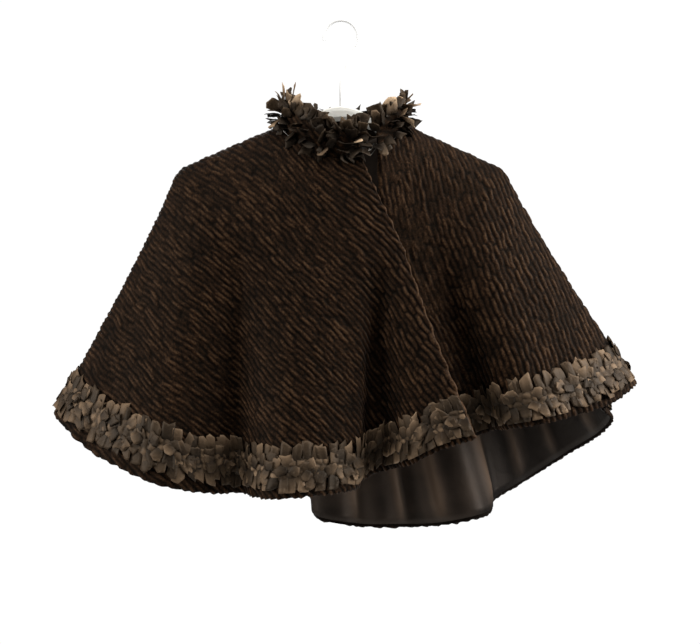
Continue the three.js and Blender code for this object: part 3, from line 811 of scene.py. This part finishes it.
side, facing = side * np.cos(roll) + facing * np.sin(roll), facing * np.cos(roll) - side * np.sin(roll)
sizes = np.stack([wide * MM, long * MM, 0 * long, 0 * long + 2.5 * MM], -1)
x, y, height, flat, roots = tab_rows(sizes, collar_chance)
x, y, height = x[..., None], y[..., None], height[..., None]
tops = roots_at[:, None, None] + side[:, None, None] * x + forward[:, None, None] * y
tops = tops + facing[:, None, None] * height
petals = tabs_joined("collar_ruche_petals", tops, facing[:, None, None] + 0 * tops, flat, tones, roots)
dress(petals, ribbon_material)
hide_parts("collar_ruche")

# Hook and eye
# Two small fasteners of bent steel wire, sewn inside the collar's foot, the hook on the lap half and the eye
# on the underlap half. The solids have their whole shape, and get a dull, slightly tarnished finish here.
wire_material, wire = new_material("dull wire")
wire_place = wire.node("ShaderNodeTexCoord", output=3)
tarnish = wire.node("ShaderNodeTexNoise", None, {"Vector": wire_place, "Scale": 700, "Detail": 3})
shaded(
    wire,
    {"Metallic": 0.95},
    Base_Color=tarnish.mixed(rgba(0.2, 0.18, 0.15), rgba(0.62, 0.58, 0.5)),
    Roughness=0.28 + tarnish * 0.25,
)
for node in ("neck_hook", "neck_eye"):
    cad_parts[node].data.materials.clear()
    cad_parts[node].data.materials.append(wire_material)

# Hanger
# A shaped wooden bar with sloping arms, painted white, and a pale wire hook whose straight end is driven
# into it. The solids have their whole shape. The paint shows a trace of the wood's grain.
paint_material, paint = new_material("white paint")
bar_place = paint.node("ShaderNodeTexCoord", output=3)
stretched = paint.node("ShaderNodeMapping", None, {"Vector": bar_place, "Scale": (6, 60, 60)})
grain = paint.node(
    "ShaderNodeTexNoise", None, {"Vector": stretched, "Scale": 6, "Detail": 5, "Distortion": 0.4}
)
paint_bump = paint.node("ShaderNodeBump", None, {"Height": grain, "Strength": 0.25, "Distance": 0.0006})
shaded(
    paint,
    {"Specular IOR Level": 0.5},
    Base_Color=grain.mixed(rgba(0.74, 0.71, 0.63), rgba(0.9, 0.88, 0.82)),
    Roughness=0.38 + grain * 0.2,
    Normal=paint_bump,
)
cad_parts["hanger_bar"].data.materials.clear()
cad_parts["hanger_bar"].data.materials.append(paint_material)

hook_material, hook = new_material("white lacquered wire")
hook_place = hook.node("ShaderNodeTexCoord", output=3)
rubbed = hook.node("ShaderNodeTexNoise", None, {"Vector": hook_place, "Scale": 240, "Detail": 4})
shaded(
    hook,
    {"Specular IOR Level": 0.5},
    Base_Color=rubbed.mixed(rgba(0.8, 0.79, 0.76), rgba(0.93, 0.92, 0.9)),
    Roughness=0.25 + rubbed * 0.2,
)
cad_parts["hanger_hook"].data.materials.clear()
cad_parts["hanger_hook"].data.materials.append(hook_material)

# Studio
# A plain pale floor under the hanging cape, white surroundings, and soft lights from both sides, above and
# behind. The surroundings look white but give the cape little light.
bpy.context.scene.view_settings.view_transform = "Standard"
floor_material, floor_shade = new_material("pale floor")
shaded(floor_shade, {"Base Color": rgba(0.66, 0.66, 0.65), "Roughness": 0.9})
bpy.ops.object.select_all(action="DESELECT")
bpy.ops.mesh.primitive_circle_add(vertices=64, radius=1.2, fill_type="NGON", location=(0, 0, -1.45))
floor = bpy.context.object
floor.name = "floor"
floor.data.materials.append(floor_material)

world = bpy.data.worlds.new("white surroundings")
bpy.context.scene.world = world
world.use_nodes = True
world.node_tree.nodes.clear()
sky = Shade(world.node_tree)
seen = sky.node("ShaderNodeLightPath", output="Is Camera Ray")
glow = sky.node("ShaderNodeBackground", None, {"Color": rgba(1, 1, 1), "Strength": seen * 0.97 + 0.055})
world_output = world.node_tree.nodes.new("ShaderNodeOutputWorld")
world.node_tree.links.new(glow.socket, world_output.inputs["Surface"])


def soft_light(name, place, size, power):
    """An area light that faces the middle of the cape."""
    lamp = bpy.data.objects.new(name, bpy.data.lights.new(name, "AREA"))
    lamp.data.size = size
    lamp.data.energy = power
    lamp.location = place
    lamp.rotation_euler = (Vector((0, 0, -0.4)) - lamp.location).to_track_quat("-Z", "Y").to_euler()
    bpy.context.collection.objects.link(lamp)


soft_light("left light", (-2.3, -0.8, 0.2), 1.8, 72)
soft_light("right light", (2.3, -0.5, 0.5), 1.8, 130)
soft_light("top light", (0.1, -0.7, 1.8), 1.0, 42)
soft_light("back light", (-0.4, 2.6, 0.5), 1.6, 90)
